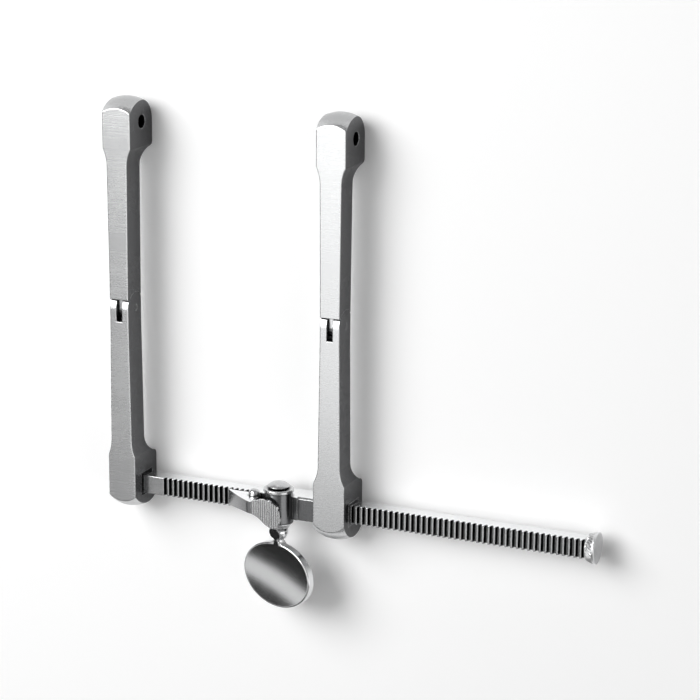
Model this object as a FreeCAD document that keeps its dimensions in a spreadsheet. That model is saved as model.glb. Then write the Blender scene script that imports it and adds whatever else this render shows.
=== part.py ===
import FreeCAD, Part
import math
import os
from FreeCAD import Placement, Rotation, Vector
import Sketcher

# Self-retaining abdominal retractor, lying on its back.
# X runs along the rack, Y along the arms, Z from the back of the arms to their front.
# The origin is on the back of the fixed arm's foot, level with the middle of the rack.

doc = FreeCAD.newDocument("abdominal_retractor")

# Driving dimensions in millimetres
dimensions = [
    # rack
    ("gearModule", 1.0, "module of rack and pinion"),
    ("pressureAngle", 20.0, "pressure angle of rack and pinion, in degrees"),
    ("toothDepth", 2.2, "depth of a rack tooth"),
    ("toothGaps", 78, "gaps cut in the rack"),
    ("rackWidth", 10.2, "width of the bar across the teeth"),
    ("rackDepth", 10.0, "depth of the bar from back to crest"),
    ("crestZ", 16.4, "tooth crests above the back of the arms"),
    ("firstCrestX", 24.0, "first whole crest from the fixed arm's middle"),
    ("rackEndMargin", 0.9, "bar left beyond the middle of the last gap"),
    # arms
    ("blockDepth", 25.2, "heads and feet, back to front"),
    ("shankDepth", 14.7, "shanks, back to front"),
    ("armSpacing", 124.8, "fixed arm's middle to sliding arm's middle"),
    ("headWidth", 16.8, "width of both heads"),
    ("fixedFootWidth", 16.6, "width of the fixed arm's foot"),
    ("slidingFootWidth", 18.2, "width of the sliding arm's foot"),
    ("shankTopWidth", 12.3, "shank width below the head"),
    ("shankHingeWidth", 11.3, "shank width at the hinge"),
    ("shankFootWidth", 12.8, "shank width above the foot"),
    ("fixedHingeY", 101.3, "fixed arm's hinge above the rack"),
    ("slidingHingeY", 104.2, "sliding arm's hinge above the rack"),
    ("headBottomY", 189.5, "where the head's full width begins"),
    ("headBlend", 8.0, "length of the blend from shank to head"),
    ("footTopY", 18.0, "where the foot's full width ends"),
    ("footBlend", 9.0, "length of the blend from foot to shank"),
    ("blendRadius", 22.0, "side blends of head and foot"),
    ("backFillet", 10.0, "hollow behind the shank's ends"),
    ("hollowLength", 9.7, "length of that hollow along the arm"),
    ("backLip", 3.0, "height of the back corner's rounding"),
    ("backCorner", 3.2, "rounding of the back corners"),
    ("cornerLength", 3.6, "length of the back corner's rounding"),
    ("headBackY", 192.0, "lower end of the head's flat back"),
    ("footBackY", 13.0, "upper end of the foot's flat back"),
    ("boreY", 203.2, "blade bores above the rack"),
    ("boreZ", 11.7, "blade bores above the back"),
    ("boreRadius", 3.5, "blade bore"),
    ("boreChamfer", 0.4, "chamfers at the mouths of the blade bore"),
    ("headCrown", 1.8, "rise of the domed head across its width"),
    ("headFrontArc", 18.1, "arc of the head's top towards the front"),
    ("fixedFootBottomY", -12.3, "lowest side edge of the fixed arm's foot"),
    ("fixedFootArc", 20.0, "arc of that foot's bottom towards the front"),
    ("slidingFootBottomY", -14.0, "lowest side edge of the sliding arm's foot"),
    ("slidingFootArc", 16.8, "arc of that foot's bottom towards the front"),
    ("footBackArc", 16.0, "arc of both feet's bottoms towards the back"),
    ("footDomeZ", 10.0, "lowest point of the domed feet above the back"),
    ("footCrown", 2.2, "rise of the domed feet across their width"),
    ("edgeRound", 0.5, "rounding of the arms' front edges"),
    # arm hinges
    ("pinInset", 8.6, "hinge pin behind the front face"),
    ("pinRadius", 1.6, "hinge pin"),
    ("earClearance", 0.2, "gap between the ears and the upper shoulder"),
    ("lipRise", 5.5, "front shoulder above the pin"),
    ("slotWidth", 3.6, "slot between the ears"),
    ("slotDrop", 7.0, "slot floor below the pin"),
    ("eyeChamfer", 0.35, "chamfer around the ends of the hinge pins"),
    ("tongueSide", 0.12, "side clearance of the tongue"),
    ("tongueRadius", 6.0, "round end of the tongue"),
    ("runningFit", 0.05, "radial clearance of pins and journals"),
    ("slideFit", 0.08, "clearance of the bar in its guides"),
    # gear case
    ("sleeveSide", 1.3, "sleeve wall beside the bar"),
    ("sleeveBack", 1.45, "sleeve wall behind the bar"),
    ("sleeveFront", 2.4, "sleeve wall over the teeth"),
    ("sleeveBevel", 1.0, "bevel along the sleeve's front edges"),
    ("pinionOffset", 31.3, "pinion axis from the sliding arm's middle"),
    ("caseBore", 6.0, "bore around the pinion"),
    ("barrelRadius", 7.7, "outside of the pinion barrel"),
    ("barrelBottom", -7.8, "lower end of the barrel"),
    ("barrelTop", 9.4, "upper end of the barrel"),
    ("bossHalf", 10.6, "half length of the pad under the barrel"),
    ("bossProud", 0.7, "pad proud of the sleeve"),
    ("collarRadius", 8.3, "flange of the upper collar"),
    ("collarHeight", 1.7, "thickness of the upper collar's flange"),
    ("collarRound", 0.7, "rounding of that flange"),
    ("bushRadius", 8.0, "wide end of the lower bush"),
    ("bushNose", 5.9, "narrow end of the lower bush"),
    ("bushHeight", 3.2, "height of the lower bush"),
    ("bushRim", 0.6, "straight rim of the bush"),
    ("bushHollow", 7.0, "hollow side of the bush"),
    # pinion and key
    ("pinionTeeth", 9, "teeth of the pinion"),
    ("pinionShift", 0.5, "profile shift of the pinion"),
    ("pinionTip", 5.8, "tip radius of the pinion"),
    ("pinionRoot", 3.7, "root radius of the pinion"),
    ("backlash", 0.14, "play between the teeth"),
    ("pinionHalf", 5.2, "half the length of the pinion's teeth"),
    ("journalRadius", 3.3, "journals of the pinion"),
    ("endPlay", 0.1, "gap at the pinion's shoulders"),
    ("capRadius", 6.1, "domed cap"),
    ("capHeight", 3.6, "domed cap from seat to crown"),
    ("capSeat", 5.2, "seat of the domed cap"),
    ("capRim", 1.2, "cap's widest line above its seat"),
    ("capStem", 1.6, "threaded stem of the cap"),
    ("capStemLength", 6.0, "threaded stem of the cap"),
    ("spigotRadius", 2.2, "pinion's spigot in the key"),
    ("spigotLength", 5.4, "pinion's spigot in the key"),
    ("ballRadius", 5.2, "ball of the key"),
    ("ballDrop", 2.8, "ball's middle below the bush"),
    ("ballLow", 3.5, "ball's lower end below its middle"),
    ("neckRadius", 2.9, "neck of the key"),
    ("keyDrop", 27.7, "middle of the key plate below the bush"),
    ("keyHalfWidth", 23.4, "half the key plate's width"),
    ("keyHalfHeight", 18.4, "half the key plate's height"),
    ("keyThickness", 4.6, "key plate at its rim"),
    ("keyDish", 1.3, "depth of each dish"),
    ("keyRim", 1.0, "flat rim around the dish"),
    ("keyShoulder", 9.0, "half width of the flare under the neck"),
    ("shoulderHollow", 9.0, "hollow of that flare"),
    ("shoulderInset", 0.6, "flare set in from the neck's front"),
    ("neckFillet", 0.8, "height of the hollow between ball and neck"),
    ("neckHollow", 1.3, "radius of that hollow"),
    ("stemSink", 5.0, "stem's reach into the key plate"),
    ("neckLength", 1.2, "straight part of the neck"),
    ("dishReach", 40.0, "height of the ellipsoid that hollows a dish"),
    ("crossPinHalf", 5.1, "half the cross pin's length"),
    ("keyRound", 0.7, "rounding of the key plate's rim"),
    ("keyTurn", 16.0, "degrees that the key stands off the rack"),
    ("keyPinRadius", 0.8, "cross pin of the key"),
    # ratchet lever
    ("pivotBack", 14.2, "lever pivot from the pinion axis, along the rack"),
    ("pivotRise", 4.6, "lever pivot above the crests"),
    ("noseGap", 12, "tooth gap that the nose faces"),
    ("noseClear", 0.15, "nose above the crests as stored"),
    ("noseHalf", 0.25, "half the nose's width at its point"),
    ("noseRoot", 0.7, "half the nose's width at its root"),
    ("leverTip", 0.25, "lever's end beyond the nose"),
    ("leverTop", 5.0, "lever's upper face"),
    ("leverBottom", -3.9, "lever's lower face"),
    ("eyeRadius", 3.3, "eye of the lever"),
    ("leverSlope", 33.4, "slope of the lever's front where it meets the pad, in degrees"),
    ("leverBend", 4.0, "bend between the lever's front and the pad's"),
    ("bendEnd", 2.2, "where that bend meets the pad's front"),
    ("archTop", -1.6, "highest point of the lever's arched underside"),
    ("archEnd", 1.0, "where the underside turns down into the pad"),
    ("archHollow", 120.0, "hollow of the underside"),
    ("padFront", 15.6, "front of the thumb pad above the crests"),
    ("padThickness", 1.8, "thickness of the thumb pad"),
    ("padRoot", 3.0, "pad's overlap with the lever, from the pivot"),
    ("padFillet", 3.0, "fillet between eye and pad"),
    ("padHollow", 14.0, "hollow below the pad's root"),
    ("padWaistX", 9.6, "end of that hollow"),
    ("padWaistY", -5.7, "end of that hollow"),
    ("padFlank", 14.0, "arc from there to the toe"),
    ("padToeX", 14.0, "toe of the pad"),
    ("padToeY", -8.4, "toe of the pad"),
    ("padToe", 3.35, "arc of the toe"),
    ("padEndX", 17.6, "outer side of the pad"),
    ("padEndLow", -7.7, "lower corner of the outer side"),
    ("padEndHigh", 4.2, "upper corner of the outer side"),
    ("padCheek", 7.9, "arc of the outer side"),
    ("padTopX", 10.3, "highest point of the pad"),
    ("padTopY", 7.0, "highest point of the pad"),
    ("padShoulder", 11.4, "arc from there to the outer side"),
    ("padBrow", 20.0, "arc from the eye to the highest point"),
    ("ridgePitch", 0.65, "ridges of the thumb pad"),
    ("ridgeDepth", 0.16, "depth between the ridges"),
    ("ridgeWidth", 0.4, "width between the ridges"),
    ("ridgeCount", 27, "grooves between the ridges"),
    ("lugTop", -1.0, "upper face of the lug that carries the lever"),
    ("lugHeight", 3.0, "height of the lug"),
    ("lugRoom", 0.5, "room around the lug"),
    ("pivotRadius", 1.5, "shank of the pivot screw"),
    ("screwRim", 0.6, "rim of the pivot screw's head"),
    ("screwHead", 3.2, "round head of the pivot screw"),
    ("springWire", 0.25, "radius of the lever spring's wire"),
    ("springRadius", 2.15, "mean radius of the lever spring"),
    ("springPitch", 0.62, "rise of the lever spring in one turn"),
    ("springRoom", 0.3, "room around the lever spring"),
    ("springTurns", 3, "turns of the lever spring"),
    # end knob and dowels
    ("knobBack", 7.2, "end knob where it meets the bar"),
    ("knobRadius", 8.6, "rim of the end knob"),
    ("knobFlare", 4.4, "cone from the bar to the rim"),
    ("knobRim", 1.1, "thickness of the rim"),
    ("knobRound", 0.4, "rounding of the rim's edges"),
    ("knobDish", 1.2, "dish in the end face"),
    ("knobDishRadius", 7.9, "width of that dish, halved"),
    ("stemRadius", 2.4, "threaded stem of the end knob"),
    ("stemLength", 9.0, "threaded stem of the end knob"),
    ("socketDepth", 12.3, "bar's end inside the fixed foot"),
    ("recessMargin", 1.5, "shallow recess around the bar"),
    ("recessDepth", 1.2, "depth of that recess"),
    ("dowelRadius", 1.2, "dowels behind the feet"),
    ("dowelOffset", 3.0, "dowels beside the middle of the feet"),
    ("dowelGrip", 4.0, "dowel's length inside the bar"),
    ("dowelBite", 1.1, "dowel's length inside the sleeve"),
    ("crestLift", 0.5, "how far the tooth gaps are drawn past the crests"),
    ("overrun", 1.0, "how far a cut runs past the face it opens"),
]

# Sizes that follow from the ones above
derived = [
    ("pitch", "=pi * gearModule"),
    ("pinZ", "=blockDepth - pinInset"),
    ("shankZ", "=blockDepth - shankDepth"),
    ("shoulderRadius", "=pinInset + earClearance"),
    ("headTopY", "=boreY + boreZ"),
    ("rackZ", "=crestZ - rackDepth / 2"),
    ("rackStartX", "=fixedFootWidth / 2 - socketDepth"),
    ("rackEndX", "=firstCrestX + (toothGaps - 1.5) * pitch + rackEndMargin"),
    ("sleeveHalf", "=rackWidth / 2 + slideFit + sleeveSide"),
    ("sleeveLow", "=crestZ - rackDepth - slideFit - sleeveBack"),
    ("sleeveHigh", "=crestZ + slideFit + sleeveFront"),
    ("sleeveReach", "=pinionOffset + bossHalf"),
    ("pinionX", "=armSpacing - pinionOffset"),
    ("pinionZ", "=crestZ + gearModule * (pinionTeeth / 2 + pinionShift - 1)"),
    ("bushEnd", "=barrelBottom - bushHeight"),
    ("collarTop", "=barrelTop + collarHeight"),
    ("pivotX", "=pinionX - pivotBack"),
    ("pivotZ", "=crestZ + pivotRise"),
    ("leverBackZ", "=pivotZ - eyeRadius"),
    ("noseX", "=firstCrestX + (noseGap + 0.5) * pitch"),
    ("padFrontZ", "=crestZ + padFront"),
    ("padBackZ", "=padFrontZ - padThickness"),
    ("keyTop", "=bushEnd - endPlay"),
    ("ballY", "=bushEnd - ballDrop"),
    ("keyY", "=bushEnd - keyDrop"),
    ("capY", "=collarTop + endPlay"),
    ("dishShare", "=sqrt(1 - ((dishReach - keyDish) / dishReach) ^ 2)"),
    ("pitchRadius", "=gearModule * pinionTeeth / 2"),
    ("meshSteps", "=(pinionX - firstCrestX) / pitch - 0.5"),
    ("meshTurn", "=(meshSteps - round(meshSteps)) * pitch / pitchRadius * 180 / pi"),
]

sizes = doc.addObject("Spreadsheet::Sheet", "Sizes")
for row, (alias, value, note) in enumerate(dimensions, start=1):
    sizes.set(f"A{row}", note)
    sizes.set(f"B{row}", str(value))
    sizes.setAlias(f"B{row}", alias)
for row, (alias, formula) in enumerate(derived, start=len(dimensions) + 2):
    sizes.set(f"B{row}", formula)
    sizes.setAlias(f"B{row}", alias)
doc.recompute()


# The number behind an expression, in which $name is a cell of the sheet
def number(expression):
    result = sizes.evalExpression(str(expression).replace("$", ""))
    return float(getattr(result, "Value", result))


def bind(thing, prop, expression):
    thing.setExpression(prop, str(expression).replace("$", "Sizes."))


# Bodies, sketches and features

def newBody(label):
    body = doc.addObject("PartDesign::Body", label)
    body.Label = label
    return body


# A sketch square to one axis, at a height along it, with its origin shifted in its plane
def newSketch(body, name, axis, height="0", shiftX="0", shiftY="0"):
    role = {"x": "YZ_Plane", "y": "XZ_Plane", "z": "XY_Plane"}[axis]
    plane = next(f for f in body.Origin.OriginFeatures if f.Role == role)
    sketch = body.newObject("Sketcher::SketchObject", name)
    sketch.AttachmentSupport = [(plane, "")]
    sketch.MapMode = "FlatFace"
    bind(sketch, "AttachmentOffset.Base.x", shiftX)
    bind(sketch, "AttachmentOffset.Base.y", shiftY)
    bind(sketch, "AttachmentOffset.Base.z", f"-({height})" if axis == "y" else height)
    return sketch


def ruleFor(sketch, kind, expression, *parts):
    index = sketch.addConstraint(Sketcher.Constraint(kind, *parts, number(expression)))
    bind(sketch, f"Constraints[{index}]", expression)


# A closed outline through corners (x, y) or (x, y, radius). A radius bends the edge that
# ends at that corner: a positive one turns left along the way, a negative one turns right.
def drawOutline(sketch, corners):
    points = [Vector(number(c[0]), number(c[1]), 0) for c in corners]
    first = sketch.GeometryCount
    ends = []
    for i, corner in enumerate(corners):
        start, stop = points[i - 1], points[i]
        if len(corner) == 2:
            sketch.addGeometry(Part.LineSegment(start, stop), False)
            ends.append((1, 2))
            continue
        radius = number(corner[2])
        chord = stop - start
        reach = math.sqrt(max(radius ** 2 - chord.Length ** 2 / 4, 0))
        side = Vector(-chord.y, chord.x, 0).normalize()
        centre = (start + stop) / 2 + side * math.copysign(reach, radius)
        tail, head = (start, stop) if radius > 0 else (stop, start)
        low, high = (math.atan2(p.y - centre.y, p.x - centre.x) for p in (tail, head))
        circle = Part.Circle(centre, Vector(0, 0, 1), abs(radius))
        sketch.addGeometry(Part.ArcOfCircle(circle, low, high), False)
        ends.append((1, 2) if radius > 0 else (2, 1))
    for i, corner in enumerate(corners):
        edge, stopEnd = first + i, ends[i][1]
        after = (i + 1) % len(corners)
        sketch.addConstraint(Sketcher.Constraint("Coincident", edge, stopEnd,
                                                 first + after, ends[after][0]))
        ruleFor(sketch, "DistanceX", corner[0], -1, 1, edge, stopEnd)
        ruleFor(sketch, "DistanceY", corner[1], -1, 1, edge, stopEnd)
        if len(corner) == 3:
            ruleFor(sketch, "Radius", f"abs({corner[2]})", edge)


def drawCircle(sketch, x, y, radius):
    centre = Vector(number(x), number(y), 0)
    edge = sketch.addGeometry(Part.Circle(centre, Vector(0, 0, 1), number(radius)), False)
    ruleFor(sketch, "DistanceX", x, -1, 1, edge, 3)
    ruleFor(sketch, "DistanceY", y, -1, 1, edge, 3)
    ruleFor(sketch, "Radius", radius, edge)


def drawBox(sketch, x0, y0, x1, y1):
    drawOutline(sketch, [(x0, y0), (x1, y0), (x1, y1), (x0, y1)])


# Material added or cut from the sketch towards the far end of its axis
def pad(body, sketch, axis, length):
    feature = body.newObject("PartDesign::Pad", sketch.Name + "Pad")
    feature.Profile = sketch
    feature.Reversed = axis == "y"
    bind(feature, "Length", length)
    return feature


def pocket(body, sketch, axis, length):
    feature = body.newObject("PartDesign::Pocket", sketch.Name + "Pocket")
    feature.Profile = sketch
    feature.Reversed = axis != "y"
    bind(feature, "Length", length)
    return feature


# A quarter turn cut about the sketch's horizontal axis
def groove(body, sketch, backwards):
    feature = body.newObject("PartDesign::Groove", sketch.Name + "Groove")
    feature.Profile = sketch
    feature.ReferenceAxis = (sketch, ["H_Axis"])
    feature.Angle = 90
    feature.Reversed = backwards
    return feature


def turn(body, sketch, axis):
    feature = body.newObject("PartDesign::Revolution", sketch.Name + "Turn")
    feature.Profile = sketch
    feature.ReferenceAxis = (sketch, [axis])
    feature.Angle = 360
    return feature


# A fillet or chamfer on the edges that pass the test
def dress(body, kind, base, test, prop, expression):
    doc.recompute()
    edges = [f"Edge{i}" for i, edge in enumerate(base.Shape.Edges, start=1) if test(edge)]
    feature = body.newObject(f"PartDesign::{kind}", f"{base.Name}{kind}")
    feature.Base = (base, edges)
    bind(feature, prop, expression)
    return feature


# Arms

# Cuts the two side strips that leave the arm's front outline
def trimSides(body, name, outline, outer):
    for side, sign in (("Right", ""), ("Left", "-")):
        corners = []
        for corner in outline:
            bent = (f"{sign}({corner[2]})",) if len(corner) == 3 else ()
            corners.append((f"{sign}({corner[0]})", corner[1]) + bent)
        corners.append((f"{sign}({outer})", outline[-1][1]))
        corners.append((f"{sign}({outer})", outline[0][1]))
        sketch = newSketch(body, name + side, "z", "-$overrun")
        drawOutline(sketch, corners)
        pocket(body, sketch, "z", "$blockDepth + 2 * $overrun")


# Domes an arm's end: an arch across its width, carried round an arc seen from the side
def domeEnd(body, name, centreY, centreZ, radius, crown, width, upwards, frontwards):
    way = "" if upwards else "-"
    half = f"({width} / 2 + $overrun)"
    arch = f"((({width} / 2) ^ 2 + {crown} ^ 2) / (2 * {crown}))"
    rim = f"({radius} + {crown} - {arch} + sqrt({arch} ^ 2 - {half} ^ 2))"
    outer = f"({radius} + {crown} + $blockDepth)"
    sketch = newSketch(body, name, "z", centreZ, "0", centreY)
    drawOutline(sketch, [
        (half, f"{way}{outer}"),
        (f"-{half}", f"{way}{outer}"),
        (f"-{half}", f"{way}{rim}"),
        (half, f"{way}{rim}", f"-{arch}" if upwards else arch),
    ])
    groove(body, sketch, upwards != frontwards)


def pinHole(body, name, hingeY, radius, width):
    sketch = newSketch(body, name, "x", f"-({width}) / 2 - $overrun")
    drawCircle(sketch, hingeY, "$pinZ", radius)
    return pocket(body, sketch, "x", f"{width} + 2 * $overrun")


# Rounds the front face's long edges, apart from those of the hinge's slot
def roundFront(body, feature):
    front, slot, shortest = (number(f"${name}") for name in
                             ("blockDepth", "slotWidth", "edgeRound"))

    def test(edge):
        box = edge.BoundBox
        flat = abs(box.ZMin - front) < 1e-4 and abs(box.ZMax - front) < 1e-4
        return flat and box.YLength > shortest and max(abs(box.XMin), abs(box.XMax)) > slot
    return dress(body, "Fillet", feature, test, "Radius", "$edgeRound")


# Chamfers the rims of a round hole along X that lie further out than a distance
def chamferHole(body, feature, centreY, centreZ, radius, beyond, size):
    y, z, reach, inner = (number(value) for value in (centreY, centreZ, radius, beyond))

    def test(edge):
        box = edge.BoundBox
        aside = max(abs(box.YMin - y), abs(box.YMax - y), abs(box.ZMin - z), abs(box.ZMax - z))
        outside = max(abs(box.XMin), abs(box.XMax)) > inner
        return aside < reach + 1e-4 and box.XLength < 1e-4 and outside
    return dress(body, "Chamfer", feature, test, "Size", size)


def makeLowerArm(label, hingeY, footWidth, bottomY, frontArc, armX):
    body = newBody(label)
    low = f"{bottomY} - $footCrown - $overrun"
    side = newSketch(body, label + "Side", "x", f"-{footWidth} / 2")
    drawOutline(side, [
        (low, "$blockDepth"),
        (low, "0"),
        ("$footBackY", "0"),
        ("$footBackY + $cornerLength", "$backLip", "$backCorner"),
        ("$footBackY + $cornerLength + $hollowLength", "$shankZ", "-$backFillet"),
        (f"{hingeY} + sqrt($pinInset ^ 2 - ($pinZ - $shankZ) ^ 2)", "$shankZ"),
        (f"{hingeY} + $pinInset", "$pinZ", "$pinInset"),
        (hingeY, "$blockDepth", "$pinInset"),
    ])
    pad(body, side, "x", footWidth)
    trimSides(body, label + "Trim", [
        (f"{footWidth} / 2", "$footTopY"),
        ("$shankFootWidth / 2", "$footTopY + $footBlend", "-$blendRadius"),
        ("$shankHingeWidth / 2", f"{hingeY} - $pinInset"),
        ("$shankHingeWidth / 2", f"{hingeY} + $pinInset + $overrun"),
    ], f"{footWidth} / 2 + $overrun")
    domeEnd(body, label + "BottomBack", f"{bottomY} + $footBackArc", "$footDomeZ",
            "$footBackArc", "$footCrown", footWidth, False, False)
    domeEnd(body, label + "BottomFront", f"{bottomY} + {frontArc}", "$footDomeZ",
            frontArc, "$footCrown", footWidth, False, True)
    slot = newSketch(body, label + "Slot", "z", "-$overrun")
    drawBox(slot, "-$slotWidth / 2", f"{hingeY} - $slotDrop",
            "$slotWidth / 2", f"{hingeY} + $pinInset + $overrun")
    pocket(body, slot, "z", "$blockDepth + 2 * $overrun")
    eye = pinHole(body, label + "Eye", hingeY, "$pinRadius", footWidth)
    chamferHole(body, eye, hingeY, "$pinZ", "$pinRadius", "$slotWidth", "$eyeChamfer")
    bind(body, "Placement.Base.x", armX)
    return body


def dowelHole(body, name, length):
    sketch = newSketch(body, name, "z", "-$overrun")
    drawCircle(sketch, "$dowelOffset", "0", "$dowelRadius")
    return pocket(body, sketch, "z", f"{length} + 2 * $overrun")


def makeFixedLowerArm():
    body = makeLowerArm("fixed_lower_arm", "$fixedHingeY", "$fixedFootWidth",
                        "$fixedFootBottomY", "$fixedFootArc", "0")
    faceX = "$fixedFootWidth / 2"
    for name, depth, margin in (("Socket", "$socketDepth", "0"),
                                ("Recess", "$recessDepth", "$recessMargin")):
        sketch = newSketch(body, name, "x", f"{faceX} - {depth}")
        drawBox(sketch, f"-$rackWidth / 2 - {margin}", f"$rackZ - $rackDepth / 2 - {margin}",
                f"$rackWidth / 2 + {margin}", f"$rackZ + $rackDepth / 2 + {margin}")
        pocket(body, sketch, "x", f"{depth} + $overrun")
    roundFront(body, dowelHole(body, "FixedDowelHole", "$crestZ - $rackDepth"))


def makeSlidingLowerArm():
    body = makeLowerArm("sliding_lower_arm", "$slidingHingeY", "$slidingFootWidth",
                        "$slidingFootBottomY", "$slidingFootArc", "$armSpacing")
    window = newSketch(body, "Window", "x", "-$slidingFootWidth / 2 - $overrun")
    drawBox(window, "-$sleeveHalf", "$sleeveLow", "$sleeveHalf", "$sleeveHigh")
    pocket(body, window, "x", "$slidingFootWidth + 2 * $overrun")
    roundFront(body, dowelHole(body, "SlidingDowelHole", "$sleeveLow"))


def makeUpperArm(label, hingeY, armX):
    body = newBody(label)
    high = "$headTopY + $headCrown + $overrun"
    side = newSketch(body, label + "Side", "x", "-$headWidth / 2")
    lipZ = "$pinZ + sqrt($shoulderRadius ^ 2 - $lipRise ^ 2)"
    backY = f"{hingeY} + sqrt($shoulderRadius ^ 2 - ($pinZ - $shankZ) ^ 2)"
    drawOutline(side, [
        (f"{hingeY} + $lipRise", "$blockDepth"),
        (f"{hingeY} + $lipRise", lipZ),
        (f"{hingeY} + $shoulderRadius", "$pinZ", "-$shoulderRadius"),
        (backY, "$shankZ", "-$shoulderRadius"),
        ("$headBackY - $cornerLength - $hollowLength", "$shankZ"),
        ("$headBackY - $cornerLength", "$backLip", "-$backFillet"),
        ("$headBackY", "0", "$backCorner"),
        (high, "0"),
        (high, "$blockDepth"),
    ])
    pad(body, side, "x", "$headWidth")
    trimSides(body, label + "Trim", [
        ("$shankHingeWidth / 2", f"{hingeY} - $overrun"),
        ("$shankHingeWidth / 2", f"{hingeY} + $pinInset"),
        ("$shankTopWidth / 2", "$headBottomY - $headBlend"),
        ("$headWidth / 2", "$headBottomY", "-$blendRadius"),
    ], "$headWidth / 2 + $overrun")
    domeEnd(body, label + "TopBack", "$boreY", "$boreZ", "$boreZ", "$headCrown",
            "$headWidth", True, False)
    domeEnd(body, label + "TopFront", "$headTopY - $headFrontArc", "$boreZ",
            "$headFrontArc", "$headCrown", "$headWidth", True, True)
    tongue = newSketch(body, label + "Tongue", "x", "-$slotWidth / 2 + $tongueSide")
    drawOutline(tongue, [
        (f"{hingeY} + $shoulderRadius + $overrun", "$pinZ - $tongueRadius"),
        (f"{hingeY} + $shoulderRadius + $overrun", "$pinZ + $tongueRadius"),
        (hingeY, "$pinZ + $tongueRadius"),
        (f"{hingeY} - $tongueRadius", "$pinZ", "$tongueRadius"),
        (hingeY, "$pinZ - $tongueRadius", "$tongueRadius"),
    ])
    pad(body, tongue, "x", "$slotWidth - 2 * $tongueSide")
    pinHole(body, label + "Eye", hingeY, "$pinRadius + $runningFit", "$slotWidth")
    bore = newSketch(body, label + "Bore", "x", "-$headWidth / 2 - $overrun")
    drawCircle(bore, "$boreY", "$boreZ", "$boreRadius")
    hole = pocket(body, bore, "x", "$headWidth + 2 * $overrun")
    roundFront(body, chamferHole(body, hole, "$boreY", "$boreZ", "$boreRadius",
                                 "$slotWidth", "$boreChamfer"))
    bind(body, "Placement.Base.x", armX)


def makeCylinder(label, radius, height, way, x, y, z):
    pin = doc.addObject("Part::Cylinder", label)
    pin.Label = label
    bind(pin, "Radius", radius)
    bind(pin, "Height", height)
    pin.Placement.Rotation = Rotation(Vector(0, 0, 1), way)
    for axis, place in (("x", x), ("y", y), ("z", z)):
        bind(pin, f"Placement.Base.{axis}", place)
    return pin


# Rack

def makeRack():
    body = newBody("rack_bar")
    bar = newSketch(body, "Bar", "y", "-$rackWidth / 2")
    drawBox(bar, "$rackStartX", "$crestZ - $rackDepth", "$rackEndX", "$crestZ")
    pad(body, bar, "y", "$rackWidth")
    # one gap between slanted flanks, repeated along the bar
    gap = newSketch(body, "ToothGap", "y", "-$rackWidth / 2 - $overrun")
    middle = "$firstCrestX - $pitch / 2"
    top = "($pitch / 4 + ($gearModule + $crestLift) * tan($pressureAngle))"
    root = "($pitch / 4 - ($toothDepth - $gearModule) * tan($pressureAngle))"
    drawOutline(gap, [
        (f"{middle} - {root}", "$crestZ - $toothDepth"),
        (f"{middle} + {root}", "$crestZ - $toothDepth"),
        (f"{middle} + {top}", "$crestZ + $crestLift"),
        (f"{middle} - {top}", "$crestZ + $crestLift"),
    ])
    cut = pocket(body, gap, "y", "$rackWidth + 2 * $overrun")
    stem = newSketch(body, "StemHole", "x", "$rackEndX - $stemLength")
    drawCircle(stem, "0", "$rackZ", "$stemRadius")
    pocket(body, stem, "x", "$stemLength + $overrun")
    dowel = newSketch(body, "DowelHole", "z", "$crestZ - $rackDepth - $overrun")
    drawCircle(dowel, "$dowelOffset", "0", "$dowelRadius")
    pocket(body, dowel, "z", "$dowelGrip + $overrun")
    doc.recompute()
    row = body.newObject("PartDesign::LinearPattern", "Teeth")
    row.Originals = [cut]
    row.Direction = (gap, ["H_Axis"])
    bind(row, "Length", "($toothGaps - 1) * $pitch")
    bind(row, "Occurrences", "$toothGaps")
    body.Tip = row
    return body


def makeKnob():
    body = newBody("end_knob")
    sketch = newSketch(body, "KnobProfile", "z", "$rackZ", "$rackEndX", "0")
    face = "($knobFlare + $knobRim)"
    drawOutline(sketch, [
        ("-$stemLength", "0"),
        (f"{face} - $knobDish", "0"),
        (face, "$knobDishRadius", "-($knobDishRadius ^ 2 + $knobDish ^ 2) / (2 * $knobDish)"),
        (face, "$knobRadius - $knobRound"),
        (f"{face} - $knobRound", "$knobRadius", "$knobRound"),
        ("$knobFlare", "$knobRadius"),
        ("0", "$knobBack"),
        ("0", "$stemRadius"),
        ("-$stemLength", "$stemRadius"),
    ])
    turn(body, sketch, "H_Axis")
    return body


# Gear case and its collars

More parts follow.
